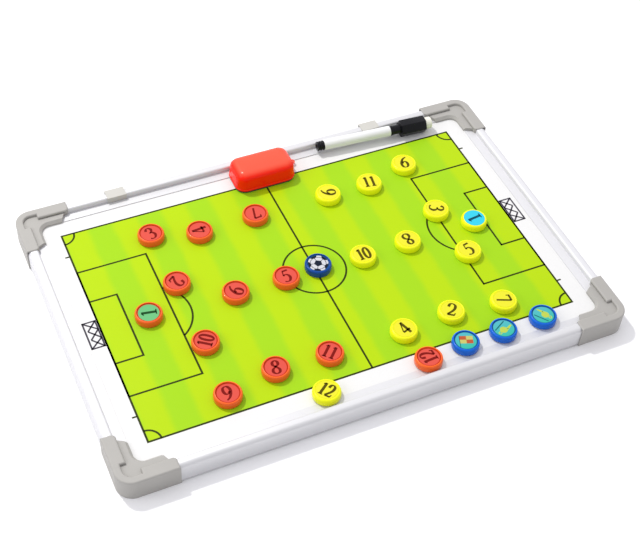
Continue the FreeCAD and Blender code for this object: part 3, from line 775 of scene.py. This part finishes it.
def make_rails():
    """Four rails with a rounded shoulder, a lip over the panel's face and a shelf under its back."""
    face = node_box("face_sheet")[1].z
    for side, turn in (("near", 0), ("right", 90), ("far", 180), ("left", 270)):
        swing = Matrix.Rotation(math.radians(turn), 4, "Z")
        corners = [swing.inverted() @ corner for corner in node_box(f"rail_{side}")]
        start, end = sorted(corner.x for corner in corners)
        outer, lip = sorted(corner.y for corner in corners)
        foot, top = corners[0].z, corners[1].z
        section = rail_section(top - foot, lip - outer, face - foot)
        loops = [[(x, outer + across, foot + up) for across, up in section] for x in (start, end)]
        # Shaded copy of the metal for the near and far rails, lit copy for the sides
        finish = RAIL_LONG_SHADED if turn % 180 == 0 else RAIL_SHORT_LIT
        make_piece(f"rail_{side}_bar", loft(loops), swing, [finish], "board",
                   [f"rail_{side}"])


def print_pitch():
    """The green field, and its lines a little above it."""
    face = node_box("face_sheet")[1].z
    place = Matrix.Translation((*PITCH_MIDDLE, 0))
    long, wide = PITCH_HALF_LENGTH, PITCH_HALF_WIDTH
    field = Print(face - PRINT_RISE, face + PRINT_RISE, [PITCH_GREEN])
    field.polygon([(-long, -wide), (long, -wide), (long, wide), (-long, wide)])
    field.make("pitch_field", place, "board")
    lines = Print(face, face + 2 * PRINT_RISE, [LINE_INK, GREY_INK])
    lines.box((-long, -wide), (long, wide), LINE_WIDTH)
    lines.line([(0, -wide), (0, wide)], LINE_WIDTH)
    lines.line(circle((0, 0), CIRCLE_RADIUS, steps=96), LINE_WIDTH)
    for side in (-1, 1):
        draw_end(lines, side)
        draw_goal(lines, side)
    lines.make("pitch_lines", place, "board")


def draw_end(lines, side):
    """Both areas, the arc, the corners and the ticks at one end of the pitch."""
    goal = side * PITCH_HALF_LENGTH
    areas = ((PENALTY_DEPTH, PENALTY_HALF_WIDTH), (GOAL_AREA_DEPTH, GOAL_AREA_HALF_WIDTH))
    for depth, half_width in areas:
        lines.box((goal, -half_width), (goal - side * depth, half_width), LINE_WIDTH)
    spread = math.degrees(math.acos((PENALTY_DEPTH - ARC_SPOT) / ARC_RADIUS))
    facing = 0 if side < 0 else 180
    spot = (goal - side * ARC_SPOT, 0)
    lines.line(rounding(spot, ARC_RADIUS, facing - spread, facing + spread, steps=32), LINE_WIDTH)
    for end in (-1, 1):
        corner = (goal, end * PITCH_HALF_WIDTH)
        inwards = math.degrees(math.atan2(-end, -side))
        lines.line(rounding(corner, CORNER_RADIUS, inwards - 45, inwards + 45, steps=16), LINE_WIDTH)
        start, place = goal + side * LINE_WIDTH / 2, end * TICK_PLACE
        lines.line([(start, place), (start + side * TICK_LENGTH, place)], THIN_LINE_WIDTH)


def draw_goal(lines, side):
    """A goal seen from above behind the goal line, its net a row of crosses."""
    near = side * (PITCH_HALF_LENGTH + LINE_WIDTH)
    back = near + side * GOAL_DEPTH
    lines.box((near, -GOAL_HALF_WIDTH), (back, GOAL_HALF_WIDTH), THIN_LINE_WIDTH, GREY_INK)
    pitch = 2 * GOAL_HALF_WIDTH / NET_CROSSES
    knots = []
    for number in range(NET_CROSSES + 1):
        inset = side * NET_INSET if 0 < number < NET_CROSSES else 0
        place = number * pitch - GOAL_HALF_WIDTH
        knots.append(((near, place), (back - inset, place)))
    for (near_low, back_low), (near_high, back_high) in zip(knots, knots[1:]):
        lines.line([near_low, back_high], THIN_LINE_WIDTH, GREY_INK)
        lines.line([back_low, near_high], THIN_LINE_WIDTH, GREY_INK)


# Magnets

def magnet_size():
    """Radius and height of the magnets, from one that lies level."""
    low, high = node_box("ball_magnet")
    return (high.x - low.x) / 2, high.z - low.z


MAGNET_RADIUS, MAGNET_HEIGHT = magnet_size()


def label_radius(slot):
    return MAGNET_RADIUS - RIMS[slot]["width"] - LABEL_GAP


def magnet_place(node):
    """Where a magnet's foot is and how it leans, read from the box of its node."""
    low, high = node_box(node)
    # A disc that leans by an angle rises to its height times the cosine plus its diameter times the sine
    diagonal = math.hypot(MAGNET_HEIGHT, 2 * MAGNET_RADIUS)
    lean = math.asin((high.z - low.z) / diagonal) - math.asin(MAGNET_HEIGHT / diagonal)
    turn = Matrix.Rotation(-lean, 4, "X")
    centre = turn @ Vector((0, 0, MAGNET_HEIGHT / 2))
    return Matrix.Translation((low + high) / 2 - centre) @ turn


def cup_profile(slot, floor):
    """Half section of the moulded cup from the middle of its recess out over the rim to its foot."""
    radius, height = MAGNET_RADIUS, MAGNET_HEIGHT
    width, drop = RIMS[slot]["width"], RIMS[slot]["drop"]
    inner = radius - width
    foot_centre = (radius - FOOT_ROUNDING, CLEAR_OF_PRINT + FOOT_ROUNDING)
    shoulder = rounding((0, 0), 1.0, 90, 0, steps=10)
    return [
        (0, floor),
        (inner, floor),
        *rounding((inner + RIM_LIP, height - RIM_LIP), RIM_LIP, 180, 90, steps=3),
        *[(radius - (width - RIM_LIP) * (1 - x), height - drop * (1 - y)) for x, y in shoulder],
        *rounding(foot_centre, FOOT_ROUNDING, 0, -90, steps=3),
        (0, CLEAR_OF_PRINT),
    ]


def label_profile(radius, top):
    """Half section of a label disc from its underside to its top."""
    bottom = top - LABEL_THICKNESS
    return [(0, bottom), (radius, bottom), (radius, top - LABEL_EDGE), (radius - LABEL_EDGE, top), (0, top)]


def draw_number(drawing, text):
    """Numerals with broad uprights and fine level strokes, centred on the label."""
    single = len(text) == 1
    height, width = (DIGIT_HEIGHT, DIGIT_WIDTH) if single else (PAIR_HEIGHT, PAIR_WIDTH)
    start = -width * len(text) / 2

    def stroke_width(steepness):
        return height * (FINE + (BROAD - FINE) * abs(steepness) ** NARROWING)

    for number, digit in enumerate(text):
        left = start + number * width
        for points, share in STROKES[digit]:
            line = [(left + x * width, (y - 0.5) * height) for x, y in smooth_line(points)]
            drawing.line(line, stroke_width if share is None else share * height)


def draw_ball(drawing):
    """A ball of dark five-sided patches joined by seams."""
    edge_radius = label_radius("magnet_blue") - LABEL_EDGE - LABEL_SHADE_RING
    to_left = Matrix.Rotation(math.radians(BALL_SPREAD), 2)
    to_right = to_left.inverted()
    corners = [Vector(point) for point in rounding((0, 0), 1.0, 90, 450, BALL_PATCHES)[:-1]]
    drawing.polygon([tuple(corner * BALL_PATCH_RADIUS) for corner in corners])
    for number, corner in enumerate(corners):
        seam_end = tuple(corner * BALL_SEAM_END)
        drawing.line([tuple(corner * BALL_SEAM_START), seam_end], BALL_SEAM_WIDTH)
        angle = 90 + 360 / BALL_PATCHES * number
        edge = rounding((0, 0), edge_radius, angle - BALL_EDGE_SPREAD, angle + BALL_EDGE_SPREAD, steps=8)
        left = tuple(to_left @ corner * BALL_SHOULDER)
        right = tuple(to_right @ corner * BALL_SHOULDER)
        drawing.polygon([*edge, left, seam_end, right])
        following = corners[(number + 1) % BALL_PATCHES]
        middle = tuple((corner + following).normalized() * BALL_SHOULDER)
        across = tuple(to_right @ following * BALL_SHOULDER)
        drawing.line([left, middle, across], BALL_SEAM_WIDTH)


def draw_flag(drawing):
    """A chequered linesman's flag on a stick."""
    width, height = FLAG_CHECK
    left, bottom = FLAG_CORNER
    for column in (0, 1):
        for row in (0, 1):
            x, y = left + column * width, bottom + row * height
            ink = RED_INK if (column + row) % 2 else YELLOW_INK
            drawing.polygon([(x, y), (x + width, y), (x + width, y + height), (x, y + height)], ink)
    drawing.line([(left, FLAG_STICK_END), (left, bottom + 2 * height)], FLAG_STICK_WIDTH)


def draw_whistle(drawing):
    """A whistle with a round body, a tapered mouthpiece and a ring, over a bar."""
    drawing.polygon(circle(WHISTLE_BODY, WHISTLE_BODY_RADIUS, steps=32)[:-1], LIME_INK)
    drawing.polygon(WHISTLE_MOUTHPIECE, LIME_INK, layer=1)
    drawing.line(circle(WHISTLE_RING, WHISTLE_RING_RADIUS, steps=20), WHISTLE_RING_WIDTH, LIME_INK)
    drawing.line(circle(WHISTLE_BODY, WHISTLE_EYE_RADIUS, steps=24), WHISTLE_EYE_WIDTH, YELLOW_INK, layer=2)
    drawing.line(WHISTLE_SLOT, WHISTLE_SLOT_WIDTH, layer=2)
    drawing.line(WHISTLE_BAR, WHISTLE_BAR_WIDTH)


def make_magnet(node, cup, slot, label, inks, draw):
    """Cup, label disc and printed marks of one magnet. Round the label's edge runs a ring of painted shadow,
    the rim's shade over the recess, in the last ink.
    """
    place = magnet_place(node)
    radius = label_radius(slot)
    top = MAGNET_HEIGHT - RIMS[slot]["label_depth"]
    moulding = lathe(cup_profile(slot, top - LABEL_THICKNESS), MAGNET_STEPS)
    make_piece(f"{node}_cup", moulding, place, [cup], node, [node])
    disc = lathe(label_profile(radius, top), MAGNET_STEPS)
    make_piece(f"{node}_label", disc, place, [label], node)
    drawing = Print(top - PRINT_RISE, top + PRINT_RISE, inks)
    # A ring of painted shadow round the label's edge, where the rim shades the recess
    shade_ring = circle((0, 0), radius - LABEL_EDGE - LABEL_SHADE_RING / 2, MAGNET_STEPS)
    drawing.line(shade_ring, LABEL_SHADE_RING, inks[-1])
    draw(drawing)
    turned = place @ Matrix.Rotation(math.radians(LABEL_TURNS[node]), 4, "Z")
    drawing.make(f"{node}_marks", turned, node)


def make_team(colour, cup, player, keeper):
    """Numbered magnets. The keeper's, the first, has a label, an ink and a painted recess-shade ring of its
    own.
    """
    for number in range(1, TEAM_SIZE + 1):
        label, ink, shade_ring = keeper if number == 1 else player
        make_magnet(f"{colour}_{number}", cup, f"magnet_{colour}", label, [ink, shade_ring],
                    partial(draw_number, text=str(number)))


def make_magnets():
    """Two teams, the ball and the officials."""
    make_team("red", RED, (RED_LABEL, RED_NUMBER, RED_RECESS_SHADE), (GREEN_LABEL, GREEN_NUMBER, RED_RECESS_SHADE))
    yellow_player = (YELLOW_LABEL, YELLOW_NUMBER, YELLOW_RECESS_SHADE)
    make_team("yellow", YELLOW, yellow_player, (CYAN_LABEL, CYAN_NUMBER, CYAN_LABEL))
    make_magnet("ball_magnet", NAVY, "magnet_blue", BALL_WHITE, [BALL_NAVY, BLUE_RECESS_SHADE], draw_ball)
    flag_inks = [DARK_TEAL_INK, RED_INK, YELLOW_INK, BLUE_RECESS_SHADE]
    make_magnet("flag_magnet", BLUE, "magnet_blue", TEAL_LABEL, flag_inks, draw_flag)
    whistle_inks = [DARK_TEAL_INK, YELLOW_INK, LIME_INK, BLUE_RECESS_SHADE]
    for letter in "ab":
        make_magnet(f"whistle_magnet_{letter}", BLUE, "magnet_blue", TEAL_LABEL, whistle_inks, draw_whistle)


# Eraser

def rounded_block(length, depth, radius, levels):
    """Skin of stacked rounded rectangles, each level a height and how far it is drawn in."""
    loops = []
    for height, inset in levels:
        x, y = length / 2 - inset, depth / 2 - inset
        corners = [(x, y), (-x, y), (-x, -y), (x, -y)]
        corner_radius = max(ERASER_LEAST_RADIUS, radius - inset)
        loop = rounded_polygon(corners, corner_radius, ERASER_STEPS)
        loops.append([(*point, height) for point in loop])
    return loft(loops)


def case_levels(bottom, top, depth):
    """Heights and insets of the eraser's case: flange, drafted wall, rounded edge and shallow crown."""
    shoulder = bottom + ERASER_FLANGE_HEIGHT
    half = ERASER_FLANGE / 2
    levels = [
        (bottom, ERASER_FLANGE_EDGE),
        (bottom + ERASER_FLANGE_EDGE, 0.0),
        (shoulder - half, 0.0),
        (shoulder, half),
        (shoulder + half / 2, ERASER_FLANGE),
    ]
    wall = ERASER_FLANGE + ERASER_DRAFT
    crown_inset = wall + ERASER_EDGE_RADIUS
    centre = (crown_inset, top - ERASER_CROWN - ERASER_EDGE_RADIUS)
    levels += [(up, across) for across, up in rounding(centre, ERASER_EDGE_RADIUS, 180, 90, steps=10)]
    reach = depth / 2 - crown_inset
    for share in ERASER_CROWN_SHARES:
        levels.append((top - ERASER_CROWN * (1 - share) ** 2, crown_inset + share * reach))
    return levels


def lug_section():
    """Section of the lug's ring, its four edges rounded."""
    edge = LUG_EDGE
    top = ERASER_FLANGE_HEIGHT - edge
    outer, inner = LUG_RADIUS - edge, LUG_HOLE_RADIUS + edge
    return [
        *rounding((outer, edge), edge, -90, 0, steps=2),
        *rounding((outer, top), edge, 0, 90, steps=2),
        *rounding((inner, top), edge, 90, 180, steps=2),
        *rounding((inner, edge), edge, 180, 270, steps=2),
    ]


def make_case(middle, length, depth):
    """Case with a flange and a pillow-like crown, and the lug at its side."""
    low, high = node_box("eraser_case")
    place = Matrix.Translation((middle.x, middle.y, 0))
    shell = rounded_block(length, depth, ERASER_CORNER_RADIUS, case_levels(low.z, high.z, depth))
    make_piece("eraser_shell", shell, place, [ERASER_RED], "eraser", ["eraser_case"])
    lug = lathe(lug_section(), LUG_STEPS, ring=True)
    place = Matrix.Translation((high.x - LUG_RADIUS, middle.y + LUG_SHIFT, low.z))
    make_piece("eraser_lug", lug, place, [ERASER_RED], "eraser")


def make_pad(middle, length, depth, foot, top):
    """Felt under the case, stepped up where it lies over the far rail's lip."""
    rest = foot + CLEAR_OF_PRINT
    (foot_rise, foot_inset), (top_drop, top_inset) = PAD_FOOT_EDGE, PAD_TOP_EDGE
    levels = [(rest, foot_inset), (rest + foot_rise, 0.0), (top - top_drop, 0.0), (top, top_inset)]
    vertices, faces = rounded_block(length, depth, ERASER_CORNER_RADIUS - ERASER_FLANGE, levels)
    lip_edge = node_box("rail_far")[0].y - PAD_LIP_GAP - middle.y
    lip_top = node_box("pen_cap")[0].z
    pressed = [(x, y, max(z, lip_top) if y > lip_edge else z) for x, y, z in vertices]
    place = Matrix.Translation((middle.x, middle.y, 0))
    felt = make_piece("eraser_pad", (pressed, faces), place, [FELT_BLACK], "eraser",
                      ["eraser_felt"])


def make_eraser():
    """The eraser, laid out about the box of its felt."""
    low, high = node_box("eraser_felt")
    middle, size = (low + high) / 2, high - low
    make_case(middle, size.x + 2 * PAD_INSET, size.y + 2 * PAD_INSET)
    make_pad(middle, size.x, size.y, low.z, high.z)


# Pen

def pen_place():
    """The pen's own frame, +Z along its axis from the plug's end and +Y up."""
    barrel_low, barrel_high = node_box("pen_barrel")
    disc_low, disc_high = node_box("pen_cap_magnet")
    middle = (barrel_low + barrel_high) / 2
    axis = ((disc_low + disc_high) / 2 - middle).normalized()
    origin = middle - axis * (PLUG_SHOWN + BARREL_LENGTH / 2)
    return Matrix.Translation(origin) @ axis.to_track_quat("Z", "Y").to_matrix().to_4x4()


def plug_profile():
    """Ribbed end plug with a hollow in its end, and the shank inside the barrel."""
    profile = [
        (0, PLUG_HOLLOW_DEPTH),
        (PLUG_FLOOR_RADIUS, PLUG_HOLLOW_DEPTH),
        (PLUG_HOLLOW_RADIUS, 0.0),
    ]
    rib = (PLUG_SHOWN - (PLUG_RIBS - 1) * GROOVE_WIDTH) / PLUG_RIBS
    edge = RIB_ROUNDING
    groove = PLUG_RADIUS - GROOVE_DEPTH
    for number in range(PLUG_RIBS):
        start = number * (rib + GROOVE_WIDTH)
        end = start + rib
        profile += rounding((PLUG_RADIUS - edge, start + edge), edge, -90, 0, steps=3)
        profile += rounding((PLUG_RADIUS - edge, end - edge), edge, 0, 90, steps=3)
        if number < PLUG_RIBS - 1:
            profile += [(groove, end), (groove, end + GROOVE_WIDTH)]
    shank_end = PLUG_SHOWN + PLUG_DEPTH
    return profile + [(BARREL_BORE, PLUG_SHOWN), (BARREL_BORE, shank_end), (0, shank_end)]


def barrel_profile():
    """Closed section of the barrel, a tube with rounded outer edges."""
    start, end, edge = PLUG_SHOWN, CAP_START, BARREL_EDGE
    return [
        (BARREL_BORE, start),
        *rounding((BARREL_RADIUS - edge, start + edge), edge, -90, 0, steps=4),
        *rounding((BARREL_RADIUS - edge, end - edge), edge, 0, 90, steps=4),
        (BARREL_BORE, end),
    ]


def nib_profile():
    """Half section of the nib, a rod with a domed tip."""
    dome = []
    for angle in NIB_DOME_ANGLES:
        turn = math.radians(angle)
        dome.append((NIB_RADIUS * math.cos(turn), NIB_SHOULDER + (NIB_TIP - NIB_SHOULDER) * math.sin(turn)))
    return [(0, NIB_START), (NIB_RADIUS, NIB_START), (NIB_RADIUS, NIB_SHOULDER), *dome, (0, NIB_TIP)]


def skirt_profile():
    """Closed section of the cap's round front: a ring at its mouth, then a slightly narrower neck."""
    ring_end = CAP_START + SKIRT_RING
    edge = SKIRT_EDGE
    slope = SKIRT_RADIUS - NECK_RADIUS
    return [
        (CAP_BORE, CAP_START),
        *rounding((SKIRT_RADIUS - edge, CAP_START + edge), edge, -90, 0, steps=3),
        (SKIRT_RADIUS, ring_end - slope),
        (NECK_RADIUS, ring_end),
        (NECK_RADIUS, HEXAGON_START),
        (CAP_BORE, HEXAGON_START),
    ]


def felt_profile():
    """Half section of the cap's felt, with a rounded edge and a slightly pointed end."""
    start, end = HEXAGON_END - CAP_FELT_DEPTH, HEXAGON_END + CAP_FELT_SHOWN
    radius, edge = CAP_FELT_RADIUS - CAP_FELT_GAP, CAP_FELT_EDGE
    return [
        (0, start),
        (radius, start),
        *rounding((radius - edge, end - edge), edge, 0, 80, steps=5),
        (0, end),
    ]


def hexagon_loop(inset, height):
    """Points round the six-sided part of the cap, drawn in by an inset."""
    corners = circle((0, 0), (HEXAGON_WIDTH - 2 * inset) / math.sqrt(3), steps=6)[:-1]
    loop = rounded_polygon(corners, HEXAGON_ROUNDING, HEXAGON_STEPS)
    return [(*point, height) for point in loop]


def make_hexagon(place):
    """Six-sided part of the cap, bored from its front and recessed at its end."""
    # Each edge of its ends as an inset and a depth, from the end's face to the flat sides
    edges = [(HEXAGON_BEVEL, 0.0), (BEVEL_MIDDLE, BEVEL_MIDDLE), (0.0, HEXAGON_BEVEL)]
    solid = [hexagon_loop(inset, HEXAGON_START + depth) for inset, depth in edges]
    solid += [hexagon_loop(inset, HEXAGON_END - depth) for inset, depth in reversed(edges)]

    def round_loop(radius, height):
        directions = [Vector(point[:2]).normalized() * radius for point in solid[0]]
        return [(*direction, height) for direction in directions]

    bore_end, seat_end = CAP_START + CAP_BORE_DEPTH, HEXAGON_END - CAP_SEAT_DEPTH
    bore = [round_loop(CAP_BORE, height) for height in (bore_end, HEXAGON_START)]
    seat = [round_loop(CAP_FELT_RADIUS, height) for height in (HEXAGON_END, seat_end)]
    skin = loft(bore + solid + seat)
    make_piece("pen_cap_hexagon", skin, place, [PEN_BLACK], "capped_end", ["pen_cap"])


def make_pen():
    """The marker pen in its cap."""
    place = pen_place()

    def turned(name, profile, material, body, slot, nodes, ring=False):
        return make_piece(name, lathe(profile, PEN_STEPS, ring), place, [material], body, nodes)

    turned("pen_tube", barrel_profile(), PEN_WHITE, "pen", "pen_white", ["pen_barrel"], ring=True)
    turned("pen_plug", plug_profile(), PEN_BLACK, "pen", "pen_black", ["pen_end_plug"])
    nib = turned("pen_nib_tip", nib_profile(), INK_FELT, "pen", "ink_felt", ["pen_nib"])
    turned("pen_cap_skirt", skirt_profile(), PEN_BLACK, "capped_end", "pen_black", [], ring=True)
    make_hexagon(place)
    felt = turned("pen_felt_end", felt_profile(), FELT_CREAM, "capped_end", "felt_cream", ["pen_cap_felt"])


# Studio

def make_floor():
    """A matt white floor just under the board."""
    mesh = bpy.data.meshes.new("floor")
    reach = FLOOR_REACH
    corners = [(-reach, -reach, 0), (reach, -reach, 0), (reach, reach, 0), (-reach, reach, 0)]
    mesh.from_pydata(corners, [], [(0, 1, 2, 3)])
    floor = bpy.data.objects.new("floor", mesh)
    floor.location.z = cad_box[0][2] - FLOOR_GAP
    material, tree, surface = shader("floor_white", FLOOR_WHITE, roughness=0.9, gloss=0.1)
    vary_colour(tree, surface, noise(tree, *FLOOR_DRIFT), FLOOR_WHITE, spread=0.01)
    mesh.materials.append(material)
    scene.collection.objects.link(floor)


def towards(azimuth, elevation):
    """A direction from the board, by the azimuth from its near side and the elevation."""
    turn, rise = math.radians(azimuth), math.radians(elevation)
    return Vector((math.sin(turn) * math.cos(rise), -math.cos(turn) * math.cos(rise), math.sin(rise)))


def add_light(name, power, direction, **values):
    """An area light that shines on the board from a direction."""
    light = bpy.data.lights.new(name, "AREA")
    light.energy = power
    for key, value in values.items():
        setattr(light, key, value)
    lamp = bpy.data.objects.new(name, light)
    away = towards(*direction)
    lamp.location = away * LAMP_DISTANCE
    lamp.rotation_euler = away.to_track_quat("Z", "Y").to_euler()
    scene.collection.objects.link(lamp)


def light_studio():
    """A white tent, brightest behind on the right, a key light from behind and a panel on the left."""
    world = bpy.data.worlds.new("studio")
    world.use_nodes = True
    tree = world.node_tree
    background = tree.nodes["Background"]
    background.inputs["Color"].default_value = (*TENT_COLOUR, 1.0)
    direction = add_node(tree, "TexCoord")
    facing = add_node(tree, "VectorMath", operation="DOT_PRODUCT")
    facing.inputs[1].default_value = TENT_BRIGHT_SIDE
    tree.links.new(direction.outputs["Generated"], facing.inputs[0])
    level = remap(tree, facing.outputs["Value"], From_Min=-1.0, From_Max=1.0, To_Min=TENT_LEAST,
                  To_Max=TENT_MOST)
    tree.links.new(level, background.inputs["Strength"])
    scene.world = world
    scene.view_settings.view_transform = "Standard"
    add_light("key", KEY_POWER, KEY_DIRECTION, shape="DISK", size=KEY_SIZE, color=KEY_COLOUR)
    add_light("left_panel", PANEL_POWER, PANEL_DIRECTION, shape="RECTANGLE", size=PANEL_LENGTH,
              size_y=PANEL_HEIGHT)


def place_camera():
    """The camera, aimed at a point of the panel's face."""
    turn = Matrix.Rotation(math.radians(VIEW_AZIMUTH), 4, "Z")
    turn = turn @ Matrix.Rotation(math.radians(90 - VIEW_ELEVATION), 4, "X")
    turn = turn @ Matrix.Rotation(math.radians(VIEW_ROLL), 4, "Z")
    aim = Vector((*VIEW_AIM, node_box("face_sheet")[1].z)) * MM
    data = bpy.data.cameras.new("camera")
    data.sensor_width = VIEW_SENSOR
    data.lens = VIEW_LENS
    camera = bpy.data.objects.new("camera", data)
    camera.matrix_world = Matrix.Translation(aim + turn.to_3x3() @ Vector((0, 0, VIEW_DISTANCE * MM))) @ turn
    scene.collection.objects.link(camera)
    bpy.context.scene.camera = camera


dress_frame()
make_rails()
print_pitch()
make_magnets()
make_eraser()
make_pen()
make_floor()
light_studio()
place_camera()
